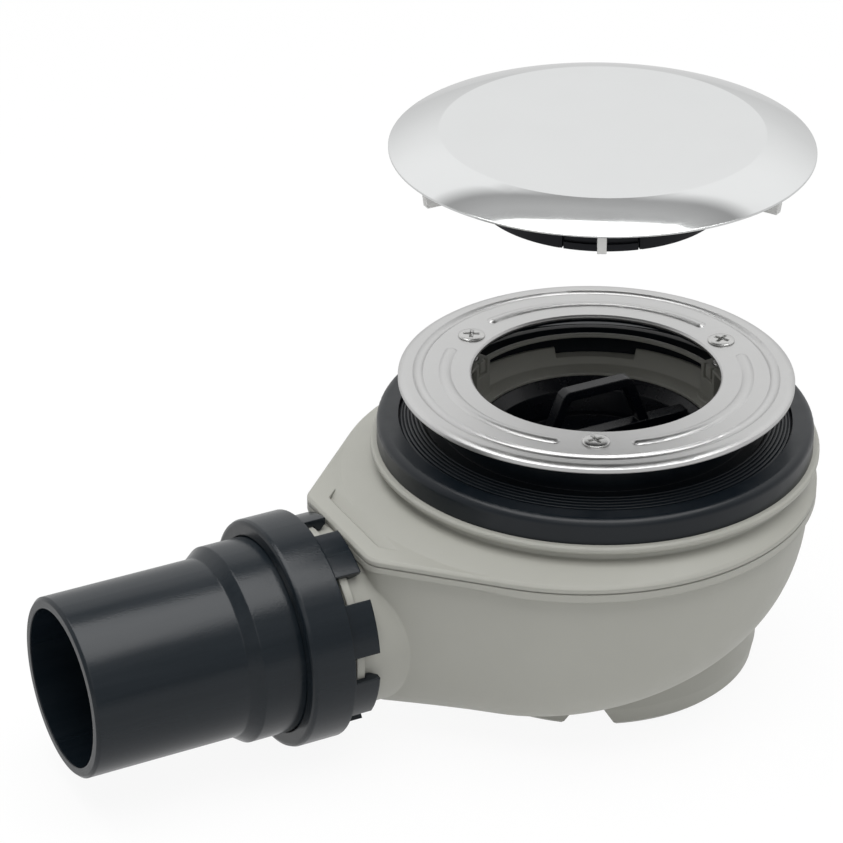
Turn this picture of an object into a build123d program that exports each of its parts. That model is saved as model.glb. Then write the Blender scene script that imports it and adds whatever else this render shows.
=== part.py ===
from build123d import *
import math
import os

# Shower trap with a lift-off cover. Millimetres, +Z up, origin on the trap's axis at the
# top face of the flange ring, outlet towards -X. Levels below that face are negative.

# Insert socket, funnel and neck of the upper shell
lift_room = 1.75
socket_wall = 2.4
socket_depth = 9.2
socket_ledge = 3.5
socket_ledge_thick = 2.2
ledge_width = 4.5
ledge_drop = 0.74
funnel_run = 4.1
funnel_fall = 3.76
funnel_edge_width = 0.8
funnel_upstand = 2.5
notch_angle = 33.0
notch_depth = 2.2
window_height = 6.0
neck_setback = 2.15
neck_width = 1.4
neck_band = 0.9
pillar_angle = 11.0
boss_radius = 3.0
nut_boss_radius = 6.0
clip_tongue_width = 3.6
clip_tongue_height = 4.5
clip_tongue_slot = 1.0
shell_wall = 2.6

# Flange ring, gasket, screws and captive nuts
waste_radius = 34.75
ring_sheet = 1.2
tray_gap = 6.1
screw_inset = 1.6
screw_angles = (0, 120, 240)
screw_radius = 2.0
screw_play = 0.2
screw_tail = 1.2
head_radius = 3.8
head_flat_radius = 2.7
head_height = 1.0
recess_length = 4.8
recess_width = 0.9
recess_depth = 0.8
nut_side = 7.0
nut_height = 3.2
thread_play = 0.03
stiffener_offset = 1.35
stiffener_width = 3.4
stiffener_height = 0.7
stiffener_angle = 89.0
gasket_setback = 1.45
gasket_reach = 6.2
gasket_thick = 1.5
groove_offset = 1.2
groove_width = 2.9
groove_depth = 0.8
ring_margin = 4.1
roll_width = 2.0
roll_drop = 0.7
inner_edge = 0.5

# Tray seal and its seat
seal_play = 0.2
collar_wall = 1.9
collar_recess = 0.5
collar_well = 4.5
well_depth = 1.0
rib_count = 6
rib_rise = 0.7
rib_fall = 2.1
rib_width = 0.75
rib_crown = 0.5
rib_height = 0.5
seat_width = 12.1
seat_slope = 1.5
seat_depth = 4.4
bead_width = 5.2
bead_crown = 6.4
bead_lead = 0.3
bead_rise = 7.2
bead_round = 2.2
lip_stand = 1.8
lip_thick = 2.2
lip_round = 0.6

# Shoulder and seam flange, drawn out to a nose over the outlet
bowl_offset = 5.5
undercut = 2.5
undercut_depth = 4.6
shoulder_least = 1.3
shoulder_drop = 3.5
shoulder_slope = 0.47
shoulder_land = 0.4
flange_nose = 8.2
flange_nose_half = 24.0
flange_corner = 7.5
flange_thick = 1.9
flange_edge = 0.8
flange_round_step = 0.5
flange_overhang = 2.1
seam_height = 0.4
seam_inset = 0.4
rim_width = 7.8
rim_nose_width = 5.4
pocket_corner = 1.5
pocket_run = 6.6
pocket_fall = 0.485
tongue_depth = 1.2
tongue_play = 0.2

# Bowl and foot of the lower shell
bowl_fall = 11.0
bowl_shoulder_share = 0.45
bowl_shoulder_in = 0.7
bowl_haunch_share = 0.8
bowl_haunch_in = 4.2
bowl_bottom_in = 10.3
nose_stand = 9.3
nose_half = 22.5
nose_corner = 7.0
nose_shoulder_lean = 0.5
nose_haunch_in = 3.5
nose_haunch_lean = 2.5
nose_bottom_in = 14.5
nose_bottom_lean = 8.0
foot_in = 17.5
foot_wall = 4.5
foot_stand = 5.1
foot_height = 6.0
foot_round = 1.3
foot_taper = 0.9
foot_gap_angles = (0, 120, 240)
foot_gap_top = 8.4
foot_gap_mouth = 15.2

# Outlet boss, spigot, seal and claw nut
pipe_radius = 25.0
pipe_wall = 3.0
pipe_length = 44.2
pipe_end_round = 0.8
bore_cover = 1.7
boss_wall = 3.8
boss_cover = 0.5
boss_reach = 58.5
boss_lead = 5.5
catch_stand = 7.5
catch_height = 1.7
catch_width = 2.3
bulge_height = 2.5
bulge_length = 15.5
bulge_run = 3.5
stop_height = 1.4
stop_thick = 3.0
seal_ring_thick = 3.0
nut_wall = 2.9
nut_lip = 3.6
nut_round = 1.2
nut_bevel = 0.36
nut_play = 0.3
claw_count = 8
claw_angle = 29.5
claw_wall = 1.7
claw_play = 0.2
claw_root = 2.5
claw_hook = 3.5

# Lift-out trap insert and cup
insert_play = 0.3
insert_sink = 0.5
insert_wall = 3.4
dish_lead = 2.7
dish_floor = 2.2
floor_drop = 3.5
ring_seal_thick = 2.3
ring_seal_height = 2.6
ring_seal_drop = 3.0
dip_radius = 19.0
dip_wall = 2.0
dip_clear = 5.0
bar_width = 4.0
bar_height = 4.5
bail_top_half = 10.7
bail_foot_half = 16.7
bail_height = 14.6
bail_bar = 2.8
bail_width = 3.6
cup_setback = 1.7
cup_wall = 1.8
cup_gap = 3.0
cup_stand = 1.6
post_angle = 24.0
peg_radius = 0.7
peg_play = 0.05
peg_length = 1.6

# Cover, held above the ring as in the picture
cover_lift = 61.7
cover_radius = 57.6
cover_slope_width = 13.6
cover_crown = 4.5
cover_bulge = 0.36
cover_sheet = 0.5
leg_height = 7.0
leg_count = 6
leg_thick = 2.4
leg_setback = 2.6
leg_taper = 1.5
leg_relief = 1.6
hub_width = 6.2
hub_thick = 2.4
clip_setback = 1.25
clip_wall = 2.0
clip_depth = 8.8
clip_play = 0.3
clip_tongue_angle = 36.0
clip_slot = 1.0
clip_recess = 0.7
clip_ledge = 2.0

# Bearing midway between two screws
between_screws = (screw_angles[0] + screw_angles[1]) / 2

# Radii from the axis outwards
socket_radius = waste_radius - lift_room
socket_ledge_radius = socket_radius - socket_ledge
socket_outer = socket_radius + socket_wall
funnel_step_radius = socket_radius + ledge_width
funnel_radius = funnel_step_radius + funnel_run
funnel_outer = funnel_radius + funnel_edge_width
neck_inner = waste_radius + neck_setback
neck_outer = neck_inner + neck_width
screw_circle = funnel_outer - screw_inset
gasket_inner = waste_radius + gasket_setback
gasket_outer = screw_circle + gasket_reach
groove_radius = gasket_outer + groove_offset + groove_width / 2
ring_radius = groove_radius + groove_width / 2 + ring_margin
collar_inner = funnel_outer + seal_play
collar_radius = collar_inner + collar_wall
seat_radius = funnel_outer + seat_width
seat_foot_radius = seat_radius + seat_slope
bead_outer = seat_foot_radius + bead_width
lip_radius = bead_outer + lip_stand
undercut_radius = lip_radius - undercut
flange_radius = undercut_radius + bowl_offset + shoulder_least
bowl_radius = flange_radius - flange_overhang
foot_radius = bowl_radius - foot_in
pipe_bore = pipe_radius - pipe_wall
boss_outer = pipe_bore + boss_wall
catch_radius = boss_outer + catch_height
bulge_radius = pipe_radius + bulge_height
stop_radius = bulge_radius + stop_height
nut_bore = stop_radius + nut_play
nut_radius = nut_bore + nut_wall
dish_outer = socket_radius - insert_play
dish_inner = dish_outer - insert_wall
dish_slim = socket_ledge_radius - insert_play
cup_radius = socket_ledge_radius - cup_setback
clip_radius = waste_radius - clip_setback
leg_outer = cover_radius - leg_setback

# Levels from the ring downwards
ring_under = -ring_sheet
neck_top = ring_under - tray_gap
funnel_edge = neck_top - window_height
step_level = funnel_edge - funnel_fall
ledge_level = step_level - ledge_drop
seal_seat = funnel_edge - funnel_upstand
roof_under = seal_seat - shell_wall
nut_boss_level = roof_under - nut_height
lip_level = seal_seat - seat_depth
shoulder_level = lip_level - undercut_depth
rim_level = shoulder_level - shoulder_drop
upper_seam = rim_level - flange_thick
lower_seam = upper_seam - seam_height
bowl_level = lower_seam - flange_thick
outlet_level = bowl_level - bore_cover - pipe_bore
bowl_grade = math.tan(math.radians(bowl_fall))
boss_under = outlet_level - boss_outer
bowl_floor = boss_under - boss_cover + boss_reach * bowl_grade
foot_level = boss_under - foot_stand
socket_floor = ledge_level - socket_depth
dish_top = ledge_level - insert_sink
dish_under = socket_floor - floor_drop
cup_floor = bowl_floor + (cup_radius + bowl_offset) * bowl_grade + shell_wall + cup_stand
dip_end = cup_floor + cup_wall + dip_clear
rim_under = cover_lift + leg_height
cover_under = rim_under + cover_crown - cover_sheet

# Stations along the outlet, from the bowl to the pipe's end
bowl_x = -bowl_offset
flange_nose_x = bowl_x - flange_radius - flange_nose
catch_x = flange_nose_x - catch_stand
boss_face_x = catch_x - boss_lead
seal_ring_x = boss_face_x - seal_ring_thick
stop_x = seal_ring_x - stop_thick
bulge_x = stop_x - bulge_length
pipe_x = bulge_x - bulge_run
pipe_end_x = pipe_x - pipe_length


def turned(points):
    """Solid of revolution about the trap's axis from (radius, level) points."""
    return revolve(make_face(Plane.XZ * Polyline(*points, close=True)), Axis.Z)


def ring(inner, outer, low, high):
    """Plain ring about the trap's axis."""
    return turned([(inner, low), (outer, low), (outer, high), (inner, high)])


def outlet_turned(points):
    """Solid of revolution about the outlet's axis from (x, radius) points."""
    face = make_face(Plane.XZ * Polyline(*[(x, outlet_level + r) for x, r in points], close=True))
    return revolve(face, Axis((0, 0, outlet_level), (1, 0, 0)))


def sector(inner, outer, low, high, middle, angle):
    """Part of a ring that spans an angle about its middle bearing."""
    face = make_face(Plane.XZ * Polyline(
        (inner, low), (outer, low), (outer, high), (inner, high), close=True))
    return Rot(0, 0, middle - angle / 2) * revolve(face, Axis.Z, angle)


def drum(x, y, radius, low, high):
    """Upright cylinder between two levels."""
    return Pos(x, y, low) * Cylinder(radius, high - low, align=(Align.CENTER, Align.CENTER, Align.MIN))


def block(x, y, z, long, wide, high):
    """Box that stands on a level, centred on x and y."""
    return Pos(x, y, z) * Box(long, wide, high, align=(Align.CENTER, Align.CENTER, Align.MIN))


def prism(face, height):
    """Upright prism on a level face, down for a negative height."""
    return extrude(face, height, dir=(0, 0, 1))


def at_screws(shape):
    """Copies of a shape drawn at bearing 0, one for each flange screw."""
    return [Rot(0, 0, angle) * shape for angle in screw_angles]


def nose_points(radius, nose_x, half, corner):
    """Tangent points of an outline: a round about the bowl's axis drawn out to a blunt nose."""
    knee_x = nose_x + corner
    knee_y = half - corner
    reach = math.hypot(knee_x - bowl_x, knee_y)
    lean = math.atan2(knee_y, knee_x - bowl_x) - math.acos((radius - corner) / reach)
    bend = (lean + math.pi) / 2
    leave = (bowl_x + radius * math.cos(lean), radius * math.sin(lean))
    meet = (knee_x + corner * math.cos(lean), knee_y + corner * math.sin(lean))
    middle = (knee_x + corner * math.cos(bend), knee_y + corner * math.sin(bend))
    return leave, meet, middle, (nose_x, knee_y)


def outline(radius, nose_x, half, corner, level):
    """Face of the nosed outline at a level."""
    leave, meet, middle, end = nose_points(radius, nose_x, half, corner)

    def flip(point):
        return (point[0], -point[1])

    edges = [
        ThreePointArc(flip(leave), (bowl_x + radius, 0), leave),
        Line(leave, meet),
        ThreePointArc(meet, middle, end),
        Line(end, flip(end)),
        ThreePointArc(flip(end), flip(middle), flip(meet)),
        Line(flip(meet), flip(leave)),
    ]
    return Pos(0, 0, level) * make_face(edges)


def flange_shape(inset):
    """Outline of the seam flange, moved in by an inset."""
    return (flange_radius - inset, flange_nose_x + inset, flange_nose_half - inset, flange_corner - inset)


def pocket_shape():
    """Outline of the sunk field inside the flange's rim."""
    half = flange_nose_half - rim_width
    return (flange_radius - rim_width, flange_nose_x + rim_nose_width, half, pocket_corner)


def bowl_shape(radius_in, half_in, nose_in, inset):
    """Outline of the bowl where its round, its nose's sides and its nose's end lie further in."""
    nose_x = bowl_x - bowl_radius - nose_stand + nose_in + inset
    return (bowl_radius - radius_in - inset, nose_x, nose_half - half_in - inset, nose_corner - inset)


def bowl_form(inset):
    """Closed form of the bowl, its bottom falling to the outlet, moved in by the inset."""
    sections = [
        (0, 0, 0, 0, 0),
        (bowl_shoulder_share, bowl_shoulder_in, 0, nose_shoulder_lean, 0),
        (bowl_haunch_share, bowl_haunch_in, nose_haunch_in, nose_haunch_lean, 0),
        (1, bowl_bottom_in, nose_bottom_in, nose_bottom_lean, inset),
    ]
    faces = []
    for share, radius_in, half_in, nose_in, lift in sections:
        face = outline(*bowl_shape(radius_in, half_in, nose_in, inset), lift)
        level = bowl_level - share * (bowl_level - bowl_floor)
        faces.append(Pos(bowl_x, 0, level) * Rot(0, -share * bowl_fall, 0) * Pos(-bowl_x, 0, 0) * face)
    return loft(faces)


def cover_plate():
    """Domed cover, flat in the middle and falling in a curve to a thin rim."""
    top, under = cover_edges(0), cover_edges(cover_sheet)
    face = make_face(top[:2] + under[:2] + [Line(top[2], under[2]), Line(top[3], under[3])])
    return revolve(Plane.XZ * face, Axis.Z)


def cover_edges(drop):
    """Cover's curve at a drop below its top: flat, slope, rim point and middle point."""
    high = rim_under + cover_crown - drop
    flat_radius = cover_radius - cover_slope_width
    rim = (cover_radius, rim_under - drop)
    flat = Line((0, high), (flat_radius, high))
    return [flat, SagittaArc((flat_radius, high), rim, cover_bulge), rim, (0, high)]


def cover_carrier():
    """Hub under the cover with six radial legs that stand on the flange ring."""
    leg_inner = clip_radius + clip_play
    hub = ring(leg_inner + leg_thick - hub_width, leg_inner + leg_thick, cover_under - hub_thick, cover_under)
    relief_radius = screw_circle + head_radius + leg_thick / 2
    leg_face = make_face(Plane.XZ * Polyline(
        (leg_inner, cover_lift + leg_relief), (relief_radius, cover_lift + leg_relief),
        (relief_radius, cover_lift), (leg_outer - leg_taper, cover_lift), (leg_outer, cover_under),
        (leg_inner, cover_under), close=True))
    flat, slope, rim, middle = cover_edges(cover_sheet)
    low_rim, low_middle = (rim[0], cover_lift), (0, cover_lift)
    sides = [Line(rim, low_rim), Line(low_rim, low_middle), Line(low_middle, middle)]
    room_face = make_face([flat, slope] + sides)
    leg = extrude(leg_face, leg_thick / 2, both=True) & revolve(Plane.XZ * room_face, Axis.Z)
    for index in range(leg_count):
        hub += Rot(0, 0, index * 360 / leg_count) * leg
    return hub


def cover_clip_ring():
    """Spring ring that plugs into the waste hole, with three tongues between slots."""
    low = cover_lift - clip_depth
    clip = ring(clip_radius - clip_wall, clip_radius, low, cover_under - hub_thick)
    slot_turn = math.degrees(clip_slot / clip_radius)
    for angle in screw_angles:
        clip -= sector(clip_radius - clip_recess, clip_radius, low + clip_ledge, cover_lift, angle,
                       clip_tongue_angle)
        for side in (-1, 1):
            clip -= sector(clip_radius - clip_wall, clip_radius, low, cover_lift,
                           angle + side * clip_tongue_angle / 2, slot_turn)
    return clip


def groove_edges(level):
    """Ring's section line at a level: flat, round groove, flat and rolled-down edge."""
    start, end = groove_radius - groove_width / 2, groove_radius + groove_width / 2
    roll = (ring_radius - roll_width, level)
    return [
        Line((waste_radius + inner_edge, level), (start, level)),
        ThreePointArc((start, level), (groove_radius, level - groove_depth), (end, level)),
        Line((end, level), roll),
        TangentArc(roll, (ring_radius, level - roll_drop), tangent=(1, 0)),
    ]


def stiffener():
    """Raised bead between two screws with round ends, about the bearing midway between them."""
    middle, half = screw_circle + stiffener_offset, stiffener_width / 2
    crown = (half ** 2 + stiffener_height ** 2) / (2 * stiffener_height)
    turn = math.asin(half / crown) / 2
    knee = (crown * math.sin(turn), stiffener_height - crown + crown * math.cos(turn))
    arch = [ThreePointArc((half, 0), knee, (0, stiffener_height))]
    stem = [Line((0, stiffener_height), (0, 0)), Line((0, 0), (half, 0))]
    cap = revolve(Plane.XZ * make_face(arch + stem), Axis.Z)
    section = make_face([ThreePointArc((-half, 0), (0, stiffener_height), (half, 0)),
                         Line((half, 0), (-half, 0))])
    start = between_screws - stiffener_angle / 2
    bead = Rot(0, 0, start) * revolve(Plane.XZ * (Pos(middle, 0) * section), Axis.Z, stiffener_angle)
    for bearing in (start, start + stiffener_angle):
        bead += Rot(0, 0, bearing) * Pos(middle, 0, 0) * cap
    return bead


def flange_ring():
    """Pressed ring with a round groove, three raised stiffeners and screw holes."""
    top, under = groove_edges(0), groove_edges(ring_under)
    sheet = revolve(Plane.XZ * make_face(top + under + [
        Line((ring_radius, -roll_drop), (ring_radius, ring_under - roll_drop)),
        Line((waste_radius, ring_under), (waste_radius, -inner_edge)),
        Line((waste_radius, -inner_edge), (waste_radius + inner_edge, 0)),
        Line((waste_radius + inner_edge, ring_under), (waste_radius, ring_under))]), Axis.Z)
    for piece in at_screws(stiffener()):
        sheet += piece
    for hole in at_screws(drum(screw_circle, 0, screw_radius + screw_play, ring_under, 0)):
        sheet -= hole
    return sheet


def flange_screws():
    """Pan-head screws with a cross recess, from the ring down through the captive nuts."""
    profile = make_face(Plane.XZ * Polyline(
        (0, nut_boss_level - screw_tail), (screw_radius, nut_boss_level - screw_tail), (screw_radius, 0),
        (head_radius, 0), (head_radius, head_height / 3), (head_flat_radius, head_height),
        (0, head_height), close=True))
    screw = revolve(profile, Axis.Z)
    for long, wide in ((recess_length, recess_width), (recess_width, recess_length)):
        screw -= block(0, 0, head_height - recess_depth, long, wide, recess_depth)
    return Compound(children=at_screws(Pos(screw_circle, 0, 0) * screw))


def captive_nuts():
    """Square nuts in the underside of the neck bosses."""
    nut = block(screw_circle, 0, nut_boss_level, nut_side, nut_side, nut_height)
    nut -= drum(screw_circle, 0, screw_radius + thread_play, nut_boss_level, roof_under)
    return Compound(children=at_screws(nut))


def flange_gasket():
    """Flat gasket against the underside of the ring."""
    low = ring_under - gasket_thick
    gasket = ring(gasket_inner, gasket_outer, low, ring_under)
    for hole in at_screws(drum(screw_circle, 0, screw_radius + screw_play, low, ring_under)):
        gasket -= hole
    return gasket


def tray_seal():
    """Rubber seal on the neck: collar, sunk well, fine ribs on a falling slope and a broad outer bead."""
    collar_top = neck_top - collar_recess
    bead_top = lip_level + bead_rise
    rib_start, rib_end = collar_radius + collar_well, bead_outer - bead_crown
    rib_high = bead_top + rib_rise
    grade = rib_fall / (rib_end - rib_start)
    pitch = (rib_end - rib_start) / rib_count
    points = [(collar_inner, seal_seat), (collar_inner, collar_top), (collar_radius, collar_top),
              (collar_radius, rib_high - well_depth), (rib_start - well_depth, rib_high - well_depth),
              (rib_start, rib_high)]
    for index in range(rib_count):
        middle = rib_start + (index + 0.5) * pitch
        level = rib_high - (middle - rib_start) * grade
        for offset, rise in ((-rib_width / 2, 0), (-rib_crown / 2, rib_height),
                             (rib_crown / 2, rib_height), (rib_width / 2, 0)):
            points.append((middle + offset, level - offset * grade + rise))
    points += [(rib_end, rib_high - rib_fall), (rib_end + bead_lead, bead_top), (bead_outer, bead_top),
               (bead_outer, lip_level), (seat_foot_radius, lip_level), (seat_radius, seal_seat)]
    section = make_face(Polyline(*points, close=True))
    corner = section.vertices().sort_by_distance((bead_outer, bead_top))[0]
    seal = revolve(Plane.XZ * fillet(corner, bead_round), Axis.Z)
    for cut in at_screws(drum(screw_circle, 0, boss_radius + seal_play, seal_seat, neck_top)):
        seal -= cut
    return seal


def neck():
    """Turned middle of the upper shell: funnel, seal seat, lip, undercut and insert socket."""
    wall_foot = undercut_radius - shell_wall
    ledge_under = socket_floor - socket_ledge_thick
    lip_under = lip_level - lip_thick
    return turned([
        (socket_radius, ledge_level), (funnel_step_radius, step_level), (funnel_radius, funnel_edge),
        (funnel_outer, funnel_edge), (funnel_outer, seal_seat), (seat_radius, seal_seat),
        (seat_foot_radius, lip_level), (lip_radius - lip_round, lip_level),
        (lip_radius, lip_level - lip_round), (lip_radius, lip_under + lip_round),
        (lip_radius - lip_round, lip_under), (undercut_radius, lip_under - lip_round),
        (undercut_radius, rim_level), (wall_foot, rim_level),
        (wall_foot, lip_level - shell_wall), (seat_foot_radius - shell_wall, lip_level - shell_wall),
        (seat_radius - shell_wall, roof_under), (funnel_outer, roof_under),
        (socket_outer, ledge_level - shell_wall), (socket_outer, ledge_under),
        (socket_ledge_radius, ledge_under), (socket_ledge_radius, socket_floor),
        (socket_radius, socket_floor)])


def pocket_wedge():
    """Room above the pocket's floor, which dips towards the nose's end."""
    end_x = flange_nose_x + rim_nose_width
    start_x = end_x + pocket_run
    start_level = upper_seam + pocket_run * pocket_fall
    face = make_face(Plane.XZ * Polyline(
        (end_x, upper_seam), (start_x, start_level), (start_x, shoulder_level), (end_x, shoulder_level),
        close=True))
    return extrude(face, flange_nose_half, dir=(0, 1, 0), both=True)


def shoulder():
    """Sloped shoulder from the neck to the seam flange, with the raised rim round its nose."""
    far = -flange_nose_x
    land_radius = undercut_radius + shoulder_land
    fall = shoulder_slope * (far - land_radius)
    deep = upper_seam - tongue_depth
    cone = turned([(0, shoulder_level), (land_radius, shoulder_level),
                   (far, shoulder_level - fall), (far, deep - fall), (0, deep - fall)])
    rim_face = outline(*flange_shape(0), upper_seam)
    slope = loft([Pos(0, 0, shoulder_level) * Circle(undercut_radius),
                  Pos(bowl_x, 0, rim_level) * Circle(flange_radius - flange_edge)], ruled=True)
    rim = prism(rim_face, flange_thick - flange_edge)
    rim += loft([outline(*flange_shape(0), rim_level - flange_edge),
                 outline(*flange_shape(flange_edge), rim_level)])
    form = slope + rim
    form -= prism(outline(*pocket_shape(), upper_seam), shoulder_level - upper_seam) & pocket_wedge()
    form += prism(outline(*bowl_shape(0, 0, 0, shell_wall + tongue_play), upper_seam), -tongue_depth)
    hollow = prism(outline(*bowl_shape(0, 0, 0, shell_wall * 2), deep), shoulder_level - deep)
    form -= hollow & (Pos(0, 0, -shell_wall) * cone)
    form -= drum(0, 0, undercut_radius - shell_wall, deep, shoulder_level)
    return form


def clip_tongue_slots():
    """U-shaped slot that frees a small tongue on the inside of a neck pillar."""
    low = neck_top - clip_tongue_height
    deep = clip_tongue_slot * 2
    slots = block(neck_inner, 0, low, deep, clip_tongue_width, clip_tongue_slot)
    for side in (-1, 1):
        middle = side * clip_tongue_width / 2
        slots += block(neck_inner, middle, low, deep, clip_tongue_slot, clip_tongue_height)
    return slots


def upper_shell():
    """Upper half of the body, one moulding."""
    shell = neck() + shoulder()
    shell += ring(neck_inner, neck_outer, neck_top - neck_band, neck_top)
    pillar = sector(neck_inner, funnel_radius, step_level, neck_top, 0, pillar_angle)
    pillar += drum(screw_circle, 0, boss_radius, roof_under, neck_top)
    pillar += drum(screw_circle, 0, nut_boss_radius, nut_boss_level, seal_seat - shell_wall / 2)
    for piece in at_screws(pillar):
        shell += piece
    shell -= ring(socket_ledge_radius, socket_radius, socket_floor, neck_top)
    notch = sector(funnel_step_radius, funnel_outer, funnel_edge - notch_depth, funnel_edge, between_screws,
                   notch_angle)
    nut_pocket = block(screw_circle, 0, nut_boss_level, nut_side, nut_side, nut_height)
    hole = drum(screw_circle, 0, screw_radius + screw_play, nut_boss_level, neck_top)
    for cut in (notch, nut_pocket, hole, clip_tongue_slots()):
        for copy in at_screws(cut):
            shell -= copy
    return shell


def foot_gap():
    """Gap in the foot ring with sloped ends, wider at its mouth, drawn at bearing 0."""
    mouth, slot = foot_gap_mouth / 2, foot_gap_top / 2
    shoulder_z = foot_level + foot_height
    face = make_face(Plane.YZ * Polyline(
        (-mouth, foot_level), (mouth, foot_level), (slot, shoulder_z), (slot, bowl_floor),
        (-slot, bowl_floor), (-slot, shoulder_z), close=True))
    return Pos(foot_radius - 2 * foot_wall, 0, 0) * extrude(face, 3 * foot_wall, dir=(1, 0, 0))


def lower_shell():
    """Bowl with its half of the seam flange, the outlet boss and the foot ring."""
    shell = bowl_form(0) + prism(outline(*flange_shape(0), bowl_level), flange_thick)
    shell += prism(outline(*flange_shape(seam_inset), lower_seam), seam_height)
    shell += drum(bowl_x, 0, flange_radius, bowl_level - flange_round_step, lower_seam)
    boss_root_x = bowl_x - boss_reach
    catch_end_x = catch_x + catch_width
    boss = outlet_turned([
        (boss_face_x, 0), (boss_face_x, boss_outer), (catch_x, boss_outer), (catch_x, catch_radius),
        (catch_end_x, catch_radius), (catch_end_x, boss_outer), (boss_root_x, boss_outer), (boss_root_x, 0)])
    shell += boss - prism(outline(*flange_shape(0), bowl_level), boss_outer)
    foot_top = bowl_floor + foot_radius * bowl_grade
    foot = turned([
        (foot_radius - foot_wall, foot_level), (foot_radius - foot_taper - foot_round, foot_level),
        (foot_radius - foot_taper, foot_level + foot_round), (foot_radius, foot_level + foot_height),
        (foot_radius, foot_top), (foot_radius - foot_wall, foot_top)])
    for turn in foot_gap_angles:
        foot -= Rot(0, 0, turn) * foot_gap()
    shell += foot
    shell -= bowl_form(shell_wall)
    shell -= prism(outline(*bowl_shape(0, 0, 0, shell_wall), bowl_level), flange_thick + seam_height)
    return shell - outlet_turned([
        (boss_face_x, 0), (boss_face_x, pipe_bore), (boss_root_x, pipe_bore), (boss_root_x, 0)])


def bail():
    """Bail of the insert: a flat bar on two splayed legs, above the cross bar."""
    high = dish_top + bail_height
    splay = (bail_foot_half - bail_top_half) / bail_height
    across = bail_bar * math.hypot(1, splay)
    inner_top = bail_top_half + bail_bar * splay - across
    outer = make_face(Polyline((-bail_foot_half, dish_top), (-bail_top_half, high),
                               (bail_top_half, high), (bail_foot_half, dish_top), close=True))
    inner = make_face(Polyline((across - bail_foot_half, dish_top), (-inner_top, high - bail_bar),
                               (inner_top, high - bail_bar), (bail_foot_half - across, dish_top), close=True))
    outer = fillet(outer.vertices().sort_by(Axis.Y)[2:], bail_bar)
    inner = fillet(inner.vertices().sort_by(Axis.Y)[2:], bail_bar / 2)
    return extrude(Plane.XZ * (outer - inner), bail_width / 2, both=True)


def cup_peg(play):
    """Peg on a cup post, or the hole for it in the dish."""
    peg = drum(cup_radius - cup_wall / 2, 0, peg_radius + play, dish_under, dish_under + peg_length)
    return Rot(0, 0, between_screws) * peg


def trap_insert():
    """Lift-out dish with a bail on a cross bar and a dip tube below."""
    groove_top = dish_top - ring_seal_drop
    groove_low = groove_top - ring_seal_height
    groove_base = socket_radius - ring_seal_thick
    dip_inner = dip_radius - dip_wall
    floor_top = dish_under + dish_floor
    insert = turned([
        (dish_outer, dish_top), (dish_outer, groove_top), (groove_base, groove_top),
        (groove_base, groove_low), (dish_outer, groove_low), (dish_outer, socket_floor),
        (dish_slim, socket_floor), (dish_slim, dish_under), (dip_radius, dish_under), (dip_radius, dip_end),
        (dip_inner, dip_end), (dip_inner, floor_top), (dish_slim - dish_floor, floor_top),
        (dish_inner - dish_floor, socket_floor), (dish_inner, dish_top - dish_lead)])
    insert += block(0, 0, dish_top - bar_height, dish_inner * 2, bar_width, bar_height)
    insert += bail()
    for hole in at_screws(cup_peg(peg_play)):
        insert -= hole
    return insert


def insert_seal():
    """Ring seal in the dish's groove, against the socket."""
    high = dish_top - ring_seal_drop
    return ring(socket_radius - ring_seal_thick, socket_radius, high - ring_seal_height, high)


def trap_cup():
    """Cup round the dip tube, hung from the dish on three posts with pegs."""
    inner = cup_radius - cup_wall
    brim = dish_under - cup_gap
    cup = turned([(0, cup_floor), (cup_radius, cup_floor), (cup_radius, brim), (inner, brim),
                  (inner, cup_floor + cup_wall), (0, cup_floor + cup_wall)])
    post = sector(inner, cup_radius, brim, dish_under, between_screws, post_angle)
    for piece in at_screws(post) + at_screws(cup_peg(0)):
        cup += piece
    return cup


def union_nut():
    """Nut that draws the spigot on to the boss, with claws that snap over its catch."""
    lip_inner = bulge_radius + nut_play
    claw_inner = catch_radius + claw_play
    claw_outer = claw_inner + claw_wall
    hook_inner = boss_outer + nut_play
    root_x = catch_x - claw_root
    hook_x = catch_x + catch_width + nut_play
    tip_x = hook_x + claw_hook
    left_x = stop_x - nut_lip
    nut = outlet_turned([
        (left_x, lip_inner), (left_x, nut_radius - nut_round), (left_x + nut_bevel, nut_radius - nut_bevel),
        (left_x + nut_round, nut_radius), (root_x, nut_radius), (root_x, nut_bore), (stop_x, nut_bore),
        (stop_x, lip_inner)])
    claws = outlet_turned([
        (root_x - claw_root, claw_inner), (root_x - claw_root, nut_bore + claw_wall),
        (root_x, nut_bore + claw_wall), (root_x, claw_outer), (tip_x, claw_outer),
        (tip_x, claw_inner), (hook_x + claw_wall, hook_inner), (hook_x, hook_inner), (hook_x, claw_inner)])
    pitch = 360 / claw_count
    gap_angle = pitch - claw_angle
    gap_face = make_face(Plane.XZ * Polyline(
        (root_x - claw_root, 0), (root_x - claw_root, nut_radius), (tip_x, nut_radius), (tip_x, 0),
        close=True))
    gap = Rot(-gap_angle / 2, 0, 0) * revolve(gap_face, Axis.X, gap_angle)
    for index in range(claw_count):
        claws -= Pos(0, 0, outlet_level) * Rot(index * pitch, 0, 0) * gap
    return nut + claws


def outlet_spigot():
    """Outlet pipe with a shouldered bulge and a stop flange for the nut."""
    return outlet_turned([
        (seal_ring_x, pipe_bore), (seal_ring_x, stop_radius), (stop_x, stop_radius), (stop_x, bulge_radius),
        (bulge_x, bulge_radius), (pipe_x, pipe_radius), (pipe_end_x + pipe_end_round, pipe_radius),
        (pipe_end_x, pipe_radius - pipe_end_round), (pipe_end_x, pipe_bore)])


def outlet_seal():
    """Ring seal between the spigot's stop flange and the boss."""
    return outlet_turned([(seal_ring_x, pipe_bore), (seal_ring_x, boss_outer),
                          (boss_face_x, boss_outer), (boss_face_x, pipe_bore)])


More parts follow.
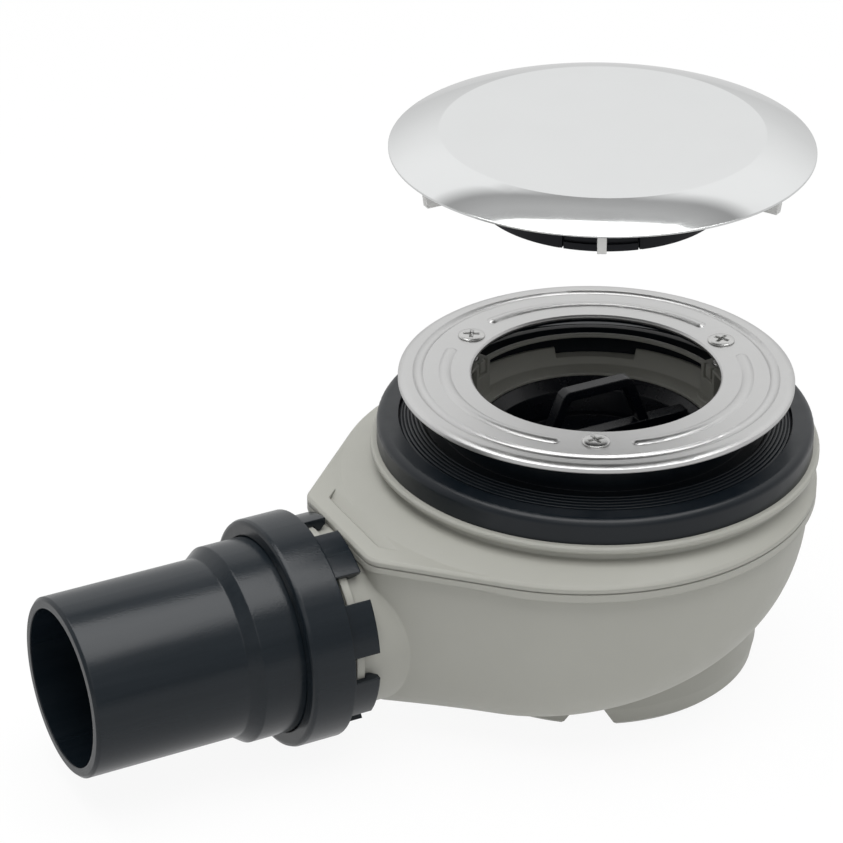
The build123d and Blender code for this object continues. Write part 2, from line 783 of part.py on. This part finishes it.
pieces = (
    cover_plate, cover_carrier, cover_clip_ring, flange_ring, flange_screws, captive_nuts, flange_gasket,
    tray_seal, upper_shell, lower_shell, trap_insert, insert_seal, trap_cup, union_nut, outlet_spigot,
    outlet_seal)

os.makedirs("parts", exist_ok=True)
for piece in pieces:
    export_step(piece(), f"parts/{piece.__name__}.step")
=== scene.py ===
import bpy
import math
from mathutils import Matrix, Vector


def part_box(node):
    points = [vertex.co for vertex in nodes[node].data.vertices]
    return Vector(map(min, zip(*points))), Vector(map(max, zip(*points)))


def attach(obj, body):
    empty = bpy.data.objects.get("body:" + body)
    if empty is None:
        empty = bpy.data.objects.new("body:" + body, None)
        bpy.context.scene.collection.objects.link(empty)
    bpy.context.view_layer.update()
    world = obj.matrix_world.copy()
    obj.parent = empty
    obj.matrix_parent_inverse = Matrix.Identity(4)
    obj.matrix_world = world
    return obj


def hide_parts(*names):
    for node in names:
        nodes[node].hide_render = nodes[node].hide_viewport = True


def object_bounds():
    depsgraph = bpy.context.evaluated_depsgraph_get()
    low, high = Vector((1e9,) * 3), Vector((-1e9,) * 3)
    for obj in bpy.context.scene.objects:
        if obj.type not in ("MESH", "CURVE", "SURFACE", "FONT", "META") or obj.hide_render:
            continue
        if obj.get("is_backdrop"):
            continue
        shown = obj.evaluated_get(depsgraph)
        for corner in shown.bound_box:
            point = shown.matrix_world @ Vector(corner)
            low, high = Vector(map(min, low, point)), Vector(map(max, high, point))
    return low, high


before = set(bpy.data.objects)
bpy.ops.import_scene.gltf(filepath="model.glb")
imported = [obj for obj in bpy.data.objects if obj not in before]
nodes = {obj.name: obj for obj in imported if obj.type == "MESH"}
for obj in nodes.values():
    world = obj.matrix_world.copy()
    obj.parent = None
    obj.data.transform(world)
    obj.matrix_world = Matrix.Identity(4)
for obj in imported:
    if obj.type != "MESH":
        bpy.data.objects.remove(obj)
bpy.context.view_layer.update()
scene = bpy.context.scene
scene.view_settings.view_transform = "Standard"


# Patterns that the finishes share

pattern_low = 0.3
pattern_high = 0.7
pattern_rough = 0.55
plain_detail = 3.0
fine_detail = 2.0
edge_samples = 6


def new_finish(name):
    """Material with its node tree and its plain shader."""
    finish = bpy.data.materials.new(name)
    finish.use_nodes = True
    tree = finish.node_tree
    shader = tree.nodes["Principled BSDF"]
    return finish, tree, shader


def place(tree, stretch=(1, 1, 1)):
    """Object coordinates, stretched by a mapping."""
    where = tree.nodes.new("ShaderNodeTexCoord")
    mapping = tree.nodes.new("ShaderNodeMapping")
    mapping.inputs["Scale"].default_value = stretch
    tree.links.new(where.outputs["Object"], mapping.inputs["Vector"])
    return mapping.outputs["Vector"]


def noise(tree, vector, scale, detail=plain_detail):
    """Noise pattern on a vector."""
    pattern = tree.nodes.new("ShaderNodeTexNoise")
    pattern.inputs["Scale"].default_value = scale
    pattern.inputs["Detail"].default_value = detail
    pattern.inputs["Roughness"].default_value = pattern_rough
    tree.links.new(vector, pattern.inputs["Vector"])
    return pattern.outputs["Fac"]


def spread(tree, value, low, high, start=pattern_low, end=pattern_high):
    """Value mapped to a range."""
    ranged = tree.nodes.new("ShaderNodeMapRange")
    ranged.inputs["From Min"].default_value = start
    ranged.inputs["From Max"].default_value = end
    ranged.inputs["To Min"].default_value = low
    ranged.inputs["To Max"].default_value = high
    tree.links.new(value, ranged.inputs["Value"])
    return ranged.outputs["Result"]


def tint(tree, value, first, second):
    """Colour between two tones by a value."""
    ramp = tree.nodes.new("ShaderNodeValToRGB")
    ramp.color_ramp.elements[0].position = pattern_low
    ramp.color_ramp.elements[0].color = (*first, 1)
    ramp.color_ramp.elements[1].position = pattern_high
    ramp.color_ramp.elements[1].color = (*second, 1)
    tree.links.new(value, ramp.inputs["Fac"])
    return ramp.outputs["Color"]


def rounded_edges(tree, radius):
    """Surface direction with the edges eased to a small radius."""
    eased = tree.nodes.new("ShaderNodeBevel")
    eased.samples = edge_samples
    eased.inputs["Radius"].default_value = radius
    return eased.outputs["Normal"]


def relief(tree, value, strength, depth, under):
    """Fine bump from a value, over the surface direction under it."""
    bump = tree.nodes.new("ShaderNodeBump")
    bump.inputs["Strength"].default_value = strength
    bump.inputs["Distance"].default_value = depth
    tree.links.new(value, bump.inputs["Height"])
    tree.links.new(under, bump.inputs["Normal"])
    return bump.outputs["Normal"]


# Moulded plastic and rubber

drift_scale = 28.0
gloss_scale = 160.0
grain_scale = 1900.0
grain_depth = 0.0002


def moulded(name, dark, light, rough, grain, edge, specular):
    """Moulded plastic or rubber: slight tone drift, fine grain, uneven gloss and eased edges."""
    finish, tree, shader = new_finish(name)
    here = place(tree)
    drift = noise(tree, here, drift_scale)
    fine = noise(tree, here, grain_scale, fine_detail)
    gloss = noise(tree, here, gloss_scale)
    tree.links.new(tint(tree, drift, dark, light), shader.inputs["Base Color"])
    tree.links.new(spread(tree, gloss, *rough), shader.inputs["Roughness"])
    tree.links.new(relief(tree, fine, grain, grain_depth, rounded_edges(tree, edge)), shader.inputs["Normal"])
    shader.inputs["Specular IOR Level"].default_value = specular
    return finish


# Pipe plastic

streak_stretch = (0.06, 1, 1)
streak_scale = 420.0
streak_detail = 4.0
wave_stretch = (0.35, 1, 1)
wave_scale = 75.0
wave_depth = 0.0008
pipe_grain_scale = 1700.0


def drawn_plastic(name, dark, light, rough, wave, grain, edge, specular):
    """Black pipe plastic with faint streaks along the outlet and a slightly wavy skin."""
    finish, tree, shader = new_finish(name)
    streaks = noise(tree, place(tree, streak_stretch), streak_scale, streak_detail)
    waves = noise(tree, place(tree, wave_stretch), wave_scale, fine_detail)
    fine = noise(tree, place(tree), pipe_grain_scale, fine_detail)
    tree.links.new(tint(tree, streaks, dark, light), shader.inputs["Base Color"])
    tree.links.new(spread(tree, streaks, *rough), shader.inputs["Roughness"])
    skin = relief(tree, waves, wave, wave_depth, rounded_edges(tree, edge))
    tree.links.new(relief(tree, fine, grain, grain_depth, skin), shader.inputs["Normal"])
    shader.inputs["Specular IOR Level"].default_value = specular
    return finish


# Chrome and pressed steel

metal_edge = 0.0004
haze_scale = 55.0
haze_tone = 0.985
# Downward slant over which the painted shade and the rougher finish fade in on a chromed underside
underside_full = -0.3
underside_none = -0.1
line_scale = 2600.0
line_depth = 0.00005
wear_scale = 70.0
wear_tone = 0.93


def chromed(name, colour, rough, underside_shade_colour, under_rough):
    """Bright plated metal with faint polishing haze above; its underside is rougher and darkened with painted
    shade.
    """
    finish, tree, shader = new_finish(name)
    shader.inputs["Metallic"].default_value = 1.0
    haze = noise(tree, place(tree), haze_scale)
    hazy = tuple(part * haze_tone for part in colour)
    facing = tree.nodes.new("ShaderNodeNewGeometry")
    split = tree.nodes.new("ShaderNodeSeparateXYZ")
    tree.links.new(facing.outputs["True Normal"], split.inputs["Vector"])
    # Painted shade: faces turned downwards get a dark grey colour that stands in for the shadow under the
    # cover, and a rougher gloss
    under = spread(tree, split.outputs["Z"], 1.0, 0.0, underside_full, underside_none)
    underside_shade_mix = tree.nodes.new("ShaderNodeMix")
    underside_shade_mix.data_type = "RGBA"
    underside_shade_mix.inputs["B"].default_value = (*underside_shade_colour, 1)
    tree.links.new(under, underside_shade_mix.inputs["Factor"])
    tree.links.new(tint(tree, haze, hazy, colour), underside_shade_mix.inputs["A"])
    tree.links.new(underside_shade_mix.outputs["Result"], shader.inputs["Base Color"])
    gloss = tree.nodes.new("ShaderNodeMix")
    gloss.inputs["B"].default_value = under_rough
    tree.links.new(under, gloss.inputs["Factor"])
    tree.links.new(spread(tree, haze, *rough), gloss.inputs["A"])
    tree.links.new(gloss.outputs["Result"], shader.inputs["Roughness"])
    tree.links.new(rounded_edges(tree, metal_edge), shader.inputs["Normal"])
    return finish


def turned_metal(name, colour, rough, lines):
    """Steel with fine round polishing lines about the trap's axis."""
    finish, tree, shader = new_finish(name)
    where = tree.nodes.new("ShaderNodeTexCoord")
    flat = tree.nodes.new("ShaderNodeVectorMath")
    flat.operation = "MULTIPLY"
    flat.inputs[1].default_value = (1, 1, 0)
    tree.links.new(where.outputs["Object"], flat.inputs[0])
    radius = tree.nodes.new("ShaderNodeVectorMath")
    radius.operation = "LENGTH"
    tree.links.new(flat.outputs["Vector"], radius.inputs[0])
    grooves = tree.nodes.new("ShaderNodeTexNoise")
    grooves.noise_dimensions = "1D"
    grooves.inputs["Scale"].default_value = line_scale
    grooves.inputs["Detail"].default_value = fine_detail
    tree.links.new(radius.outputs["Value"], grooves.inputs["W"])
    shader.inputs["Metallic"].default_value = 1.0
    wear = noise(tree, where.outputs["Object"], wear_scale)
    worn = tuple(part * wear_tone for part in colour)
    tree.links.new(tint(tree, wear, worn, colour), shader.inputs["Base Color"])
    tree.links.new(spread(tree, wear, *rough), shader.inputs["Roughness"])
    eased = rounded_edges(tree, metal_edge)
    tree.links.new(relief(tree, grooves.outputs["Fac"], lines, line_depth, eased), shader.inputs["Normal"])
    return finish


# Finishes of the pieces

# The dark grey underside colour of the cover is painted shade
cover_chrome = chromed(
    "cover_chrome", colour=(0.79, 0.80, 0.80), rough=(0.05, 0.09),
    underside_shade_colour=(0.22, 0.22, 0.22), under_rough=0.55)
ring_steel = turned_metal("ring_steel", colour=(0.64, 0.64, 0.635), rough=(0.29, 0.36), lines=0.25)
screw_steel = turned_metal("screw_steel", colour=(0.62, 0.62, 0.61), rough=(0.20, 0.30), lines=0.10)
body_grey = moulded(
    "body_grey", dark=(0.392, 0.391, 0.353), light=(0.406, 0.405, 0.366), rough=(0.42, 0.52),
    grain=0.08, edge=0.0007, specular=0.45)
carrier_grey = moulded(
    "carrier_grey", dark=(0.70, 0.70, 0.685), light=(0.73, 0.73, 0.715), rough=(0.40, 0.50),
    grain=0.08, edge=0.0004, specular=0.50)
seal_rubber = moulded(
    "seal_rubber", dark=(0.0030, 0.0060, 0.0095), light=(0.0045, 0.0077, 0.0116), rough=(0.28, 0.37),
    grain=0.08, edge=0.0003, specular=0.40)
insert_black = moulded(
    "insert_black", dark=(0.0018, 0.0028, 0.0056), light=(0.0028, 0.0038, 0.0068), rough=(0.22, 0.32),
    grain=0.05, edge=0.0005, specular=0.36)
clip_black = moulded(
    "clip_black", dark=(0.0026, 0.0036, 0.0070), light=(0.0036, 0.0046, 0.0082), rough=(0.32, 0.42),
    grain=0.05, edge=0.0003, specular=0.22)
pipe_black = drawn_plastic(
    "pipe_black", dark=(0.0064, 0.0106, 0.0148), light=(0.0090, 0.0134, 0.0180), rough=(0.18, 0.26),
    wave=0.12, grain=0.15, edge=0.0006, specular=0.36)

dressing = {
    "cover_plate": cover_chrome, "cover_carrier": carrier_grey, "cover_clip_ring": clip_black,
    "flange_ring": ring_steel, "flange_screws": screw_steel, "captive_nuts": screw_steel,
    "flange_gasket": seal_rubber, "tray_seal": seal_rubber, "upper_shell": body_grey,
    "lower_shell": body_grey, "trap_insert": insert_black, "insert_seal": seal_rubber,
    "trap_cup": insert_black, "union_nut": pipe_black, "outlet_spigot": pipe_black,
    "outlet_seal": seal_rubber,
}


def dress(piece, finish):
    """One finish on the whole of a piece."""
    piece.data.materials.clear()
    piece.data.materials.append(finish)


for node, finish in dressing.items():
    dress(nodes[node], finish)


# Work at the bench

quarter_turn = math.radians(90)


def hold(piece):
    """Take one piece in hand, as the only one that is selected."""
    bpy.ops.object.select_all(action="DESELECT")
    piece.select_set(True)
    bpy.context.view_layer.objects.active = piece


def block(name, middle, size):
    """Plain block about its middle."""
    bpy.ops.object.select_all(action="DESELECT")
    bpy.ops.mesh.primitive_cube_add(size=1, location=middle, scale=size)
    blank = bpy.context.object
    blank.name = name
    bpy.ops.object.transform_apply(location=True, rotation=True, scale=True)
    return blank


def turned_blank(name, profile, sides):
    """Round blank drawn up from a filled disc, ring by ring, along a profile of radius and height."""
    bpy.ops.object.select_all(action="DESELECT")
    radius, height = profile[0]
    bpy.ops.mesh.primitive_circle_add(
        vertices=sides, radius=radius, fill_type="NGON", location=(0, 0, height))
    blank = bpy.context.object
    blank.name = name
    bpy.ops.object.mode_set(mode="EDIT")
    bpy.ops.mesh.select_all(action="SELECT")
    for (radius, height), (wide, high) in zip(profile, profile[1:]):
        bpy.ops.mesh.extrude_region_move(TRANSFORM_OT_translate={"value": (0, 0, high - height)})
        bpy.ops.transform.resize(value=(wide / radius, wide / radius, 1), center_override=(0, 0, high))
    bpy.ops.mesh.select_all(action="SELECT")
    bpy.ops.mesh.normals_make_consistent(inside=False)
    bpy.ops.object.mode_set(mode="OBJECT")
    bpy.ops.object.transform_apply(location=True, rotation=True, scale=True)
    return blank


def work_with(piece, tool, operation):
    """Take a tool's volume out of a piece or add it; the tool is used up."""
    hold(piece)
    bpy.ops.object.modifier_add(type="BOOLEAN")
    change = piece.modifiers[-1]
    change.operation = operation
    change.solver = "EXACT"
    change.object = tool
    bpy.ops.object.modifier_apply(modifier=change.name)
    bpy.data.objects.remove(tool, do_unlink=True)


def copy_of(piece):
    """Copy of a piece with its own mesh."""
    twin = piece.copy()
    twin.data = piece.data.copy()
    scene.collection.objects.link(twin)
    return twin


# Flange screws: pan heads with a cross recess on threaded shanks

screw_bearings = (0, 120, 240)
screw_turn = 28
screw_smoothing = 35
cad_head_radius = 0.0038
head_root = -0.0010
head_neck = 0.0019
head_radius = 0.00385
head_height = 0.00073
head_rim = 0.00014
head_sides = 64
rim_round = 0.00013
dome_steps = 7
dome_power = 2 / 3
recess_length = 0.0056
recess_width = 0.0013
recess_floor = -0.0006
recess_mouth = 0.0014
recess_taper = 0.55
shank_core = 0.00162
shank_sides = 32
tail_radius = 0.000972
tail_lead = 0.0006
thread_crest = 0.00198
thread_pitch = 0.0007
thread_steps = 24
ridge_radius = 0.00025
ridge_sides = 3


def head_profile():
    """Radius and height up a pan head: neck, flat seat, round shoulder and a nearly flat top."""
    profile = [(head_neck, head_root), (head_neck, 0), (head_radius - rim_round, 0)]
    for step in range(dome_steps):
        turn = quarter_turn * step / dome_steps
        rise = (head_height - head_rim) * math.sin(turn) ** dome_power
        profile.append((head_radius * math.cos(turn) ** dome_power, head_rim + rise))
    return profile


def recess_cutter(long, wide):
    """Tapered bar that cuts one arm pair of the cross recess."""
    depth = recess_mouth - recess_floor
    middle = recess_floor + depth / 2
    cutter = block("recess_cutter", (0, 0, middle), (long, wide, depth))
    bpy.ops.object.mode_set(mode="EDIT")
    bpy.ops.mesh.select_all(action="DESELECT")
    bpy.ops.object.mode_set(mode="OBJECT")
    for corner in cutter.data.vertices:
        corner.select = corner.co.z < middle
    bpy.ops.object.mode_set(mode="EDIT")
    bpy.ops.transform.resize(value=(recess_taper, recess_taper, 1), center_override=(0, 0, recess_floor))
    bpy.ops.object.mode_set(mode="OBJECT")
    return cutter


def screw_thread(low, high):
    """Helical ridge round the shank, from a small three-sided section."""
    bpy.ops.object.select_all(action="DESELECT")
    bpy.ops.mesh.primitive_circle_add(
        vertices=ridge_sides, radius=ridge_radius, fill_type="NOTHING", location=(0, 0, 0))
    ridge = bpy.context.object
    ridge.name = "screw_thread"
    bpy.ops.object.mode_set(mode="EDIT")
    bpy.ops.mesh.select_all(action="SELECT")
    bpy.ops.transform.rotate(value=quarter_turn, orient_axis="X", center_override=(0, 0, 0))
    bpy.ops.transform.rotate(value=quarter_turn, orient_axis="Y", center_override=(0, 0, 0))
    bpy.ops.object.mode_set(mode="OBJECT")
    reach = max(corner.co.x for corner in ridge.data.vertices)
    bpy.ops.object.mode_set(mode="EDIT")
    bpy.ops.transform.translate(value=(thread_crest - reach, 0, low))
    bpy.ops.object.mode_set(mode="OBJECT")
    bpy.ops.object.modifier_add(type="SCREW")
    sweep = ridge.modifiers[-1]
    sweep.axis = "Z"
    sweep.steps = thread_steps
    sweep.render_steps = thread_steps
    sweep.screw_offset = thread_pitch
    sweep.iterations = int((high - low) / thread_pitch)
    bpy.ops.object.modifier_apply(modifier=sweep.name)
    bpy.ops.object.mode_set(mode="EDIT")
    bpy.ops.mesh.select_all(action="SELECT")
    bpy.ops.mesh.fill_holes(sides=ridge_sides)
    bpy.ops.mesh.normals_make_consistent(inside=False)
    bpy.ops.object.mode_set(mode="OBJECT")
    return ridge


def one_screw(tail):
    """Screw on the trap's axis with its head's seat at the ring's top face."""
    head = turned_blank("screw_head", head_profile(), head_sides)
    for long, wide in ((recess_length, recess_width), (recess_width, recess_length)):
        work_with(head, recess_cutter(long, wide), "DIFFERENCE")
    lead = tail + tail_lead
    shank_profile = ((tail_radius, tail), (shank_core, lead), (shank_core, head_root))
    shank = turned_blank("screw_shank", shank_profile, shank_sides)
    ridge = screw_thread(lead, head_root)
    hold(head)
    for piece in (ridge, shank):
        piece.select_set(True)
    bpy.ops.object.join()
    bpy.ops.object.shade_smooth_by_angle(angle=math.radians(screw_smoothing))
    return head


def flange_screws():
    """Three like screws on the ring's screw circle, each with its own mesh."""
    low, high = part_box("flange_screws")
    screw_circle = high.x - cad_head_radius
    first = one_screw(low.z)
    screws = [first] + [copy_of(first) for bearing in screw_bearings[1:]]
    for number, (screw, bearing) in enumerate(zip(screws, screw_bearings), start=1):
        screw.name = f"flange_screw_{number}"
        turn = math.radians(bearing)
        seat = Matrix.Translation((screw_circle * math.cos(turn), screw_circle * math.sin(turn), 0))
        screw.data.transform(seat @ Matrix.Rotation(turn + math.radians(screw_turn), 4, "Z"))
        dress(screw, screw_steel)
        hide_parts("flange_screws")
        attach(screw, "root")


flange_screws()


# Clip ring under the cover, its slots closed to fine grooves

tongue_half = 18
slot_half = 0.0005
slot_height = 0.0088
groove_width = 0.0004
groove_depth = 0.0012
bar_bite = 0.0003
bar_margin = 0.00005
clip_wall = 0.0020
clip_smoothing = 30
merge_reach = 0.000001


def slot_bar(radius, low, turn, near, far, thick):
    """Upright bar in one slot, against the ring's inner face, near and far from the slot's middle."""
    inward = radius - clip_wall + bar_margin
    middle = (inward + thick / 2, (near + far) / 2, low + bar_margin + slot_height / 2)
    bar = block("slot_bar", middle, (thick, abs(far - near), slot_height))
    bar.data.transform(Matrix.Rotation(math.radians(turn), 4, "Z"))
    return bar


def fine_slotted_clip_ring():
    """Clip ring whose six slots are filled but for a fine groove beside each tongue."""
    low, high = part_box("cover_clip_ring")
    radius = high.x
    clip = bpy.data.objects.new("clip_ring_fine_slots", nodes["cover_clip_ring"].data.copy())
    scene.collection.objects.link(clip)
    hold(clip)
    bpy.ops.object.mode_set(mode="EDIT")
    bpy.ops.mesh.select_all(action="SELECT")
    bpy.ops.mesh.remove_doubles(threshold=merge_reach)
    bpy.ops.object.mode_set(mode="OBJECT")
    bpy.ops.mesh.customdata_custom_splitnormals_clear()
    reach = slot_half + bar_bite
    groove_side = groove_width - slot_half
    flush_thick = clip_wall - 2 * bar_margin
    for bearing in screw_bearings:
        for side in (-1, 1):
            turn = bearing + side * tongue_half
            backing = slot_bar(radius, low.z, turn, -reach, reach, clip_wall - groove_depth)
            work_with(clip, backing, "UNION")
            flush = slot_bar(radius, low.z, turn, side * groove_side, side * reach, flush_thick)
            work_with(clip, flush, "UNION")
    bpy.ops.object.shade_smooth_by_angle(angle=math.radians(clip_smoothing))
    dress(clip, clip_black)
    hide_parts("cover_clip_ring")
    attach(clip, "root")


fine_slotted_clip_ring()


# Studio: floor, surround, lamps and camera

floor_size = 14
floor_gap = 0.0005
floor_tone = (0.92, 0.92, 0.92, 1)
floor_rough = 0.9
floor_glow = 0.30
camera_glow = 0.62
mirror_glow = 0.70
mirror_dim = 0.30
sky_axis = (-0.062, 0.032, 1.0)
sky_tones = (
    (0.00, 0.66), (0.20, 0.76), (0.36, 0.89), (0.47, 0.97),
    (0.56, 1.00), (0.71, 1.00), (0.77, 0.38), (0.84, 0.52),
)
behind_trap = (0.461, 0.887, 0.0)
front_reach = (-0.35, 0.60)
front_dim = 0.24
front_mirror = 0.26
camera_place = (-0.4401, -0.7416, 0.4486)
camera_tilt = 61.655
camera_turn = -27.457
camera_lens = 149.0
camera_sensor = 36.0


def raised(tree, value, gain, base):
    """Base plus a value times a gain; the base is a number or another value."""
    total = tree.nodes.new("ShaderNodeMath")
    total.operation = "MULTIPLY_ADD"
    total.inputs[1].default_value = gain
    tree.links.new(value, total.inputs[0])
    if isinstance(base, float):
        total.inputs[2].default_value = base
    else:
        tree.links.new(base, total.inputs[2])
    return total.outputs["Value"]


def along(tree, direction, axis):
    """How far a direction runs along an axis."""
    share = tree.nodes.new("ShaderNodeVectorMath")
    share.operation = "DOT_PRODUCT"
    share.inputs[1].default_value = axis
    tree.links.new(direction, share.inputs[0])
    return share.outputs["Value"]


def floor():
    """Pale floor under the lowest point, nearly white to the camera, with the trap's soft shadow."""
    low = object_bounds()[0].z
    bpy.ops.object.select_all(action="DESELECT")
    bpy.ops.mesh.primitive_plane_add(size=floor_size, location=(0, 0, low - floor_gap))
    ground = bpy.context.object
    ground.name = "floor"
    finish, tree, shader = new_finish("floor_white")
    shader.inputs["Base Color"].default_value = floor_tone
    shader.inputs["Roughness"].default_value = floor_rough
    shader.inputs["Specular IOR Level"].default_value = 0.0
    seen = tree.nodes.new("ShaderNodeLightPath")
    mirrored = seen.outputs["Is Glossy Ray"]
    plain_share = raised(tree, mirrored, mirror_glow, floor_glow)
    share = raised(tree, seen.outputs["Is Camera Ray"], camera_glow, plain_share)
    white = tree.nodes.new("ShaderNodeEmission")
    tree.links.new(raised(tree, mirrored, -mirror_dim, 1.0), white.inputs["Strength"])
    mixed = tree.nodes.new("ShaderNodeMixShader")
    tree.links.new(share, mixed.inputs["Fac"])
    tree.links.new(shader.outputs["BSDF"], mixed.inputs[1])
    tree.links.new(white.outputs["Emission"], mixed.inputs[2])
    tree.links.new(mixed.outputs["Shader"], tree.nodes["Material Output"].inputs["Surface"])
    dress(ground, finish)
    ground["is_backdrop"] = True


def surround():
    """White to the camera; in reflections pale behind the trap, grey below the lamp and dim in front."""
    world = bpy.data.worlds.new("surround")
    scene.world = world
    world.use_nodes = True
    tree = world.node_tree
    seen = tree.nodes.new("ShaderNodeLightPath")
    direction = tree.nodes.new("ShaderNodeTexCoord").outputs["Generated"]
    by_height = tree.nodes.new("ShaderNodeValToRGB")
    marks = by_height.color_ramp.elements
    while len(marks) < len(sky_tones):
        marks.new(0.5)
    for mark, (rise, tone) in zip(marks, sky_tones):
        mark.position = rise
        mark.color = (tone, tone, tone, 1)
    tree.links.new(along(tree, direction, sky_axis), by_height.inputs["Fac"])
    front = spread(tree, along(tree, direction, behind_trap), front_dim, 1.0, *front_reach)
    front_least = raised(tree, seen.outputs["Is Glossy Ray"], front_mirror, front_dim)
    tree.links.new(front_least, front.node.inputs["To Min"])
    shade = tree.nodes.new("ShaderNodeVectorMath")
    shade.operation = "SCALE"
    tree.links.new(by_height.outputs["Color"], shade.inputs["Vector"])
    tree.links.new(front, shade.inputs["Scale"])
    clear = tree.nodes.new("ShaderNodeMix")
    clear.data_type = "RGBA"
    clear.inputs["B"].default_value = (1, 1, 1, 1)
    tree.links.new(seen.outputs["Is Camera Ray"], clear.inputs["Factor"])
    tree.links.new(shade.outputs["Vector"], clear.inputs["A"])
    around = tree.nodes["Background"]
    around.inputs["Strength"].default_value = 1.0
    tree.links.new(clear.outputs["Result"], around.inputs["Color"])


def set_up(name, device, place_at, tilt, turn):
    """Lamp or camera at its place, tilted from straight down and turned about the upright axis."""
    holder = bpy.data.objects.new(name, device)
    scene.collection.objects.link(holder)
    holder.location = place_at
    holder.rotation_euler = (math.radians(tilt), 0, math.radians(turn))
    return holder


def lamp_panel(name, wide, deep, power, place_at, tilt, turn):
    """Flat oblong lamp of a given size."""
    lamp = bpy.data.lights.new(name, "AREA")
    lamp.shape = "RECTANGLE"
    lamp.size = wide
    lamp.size_y = deep
    lamp.energy = power
    set_up(name, lamp, place_at, tilt, turn)


def camera():
    """Camera at the picture's viewing angle."""
    lens = bpy.data.cameras.new("camera")
    lens.sensor_width = camera_sensor
    lens.lens = camera_lens
    scene.camera = set_up("camera", lens, camera_place, camera_tilt, camera_turn)


floor()
surround()
lamp_panel("top_softbox", wide=1.5, deep=1.29, power=20.0, place_at=(-0.071, -0.137, 1.25), tilt=0, turn=-33)
lamp_panel(
    "front_fill", wide=1.4, deep=1.0, power=2.2, place_at=(-0.581, -1.118, 0.985), tilt=52, turn=camera_turn)
camera()
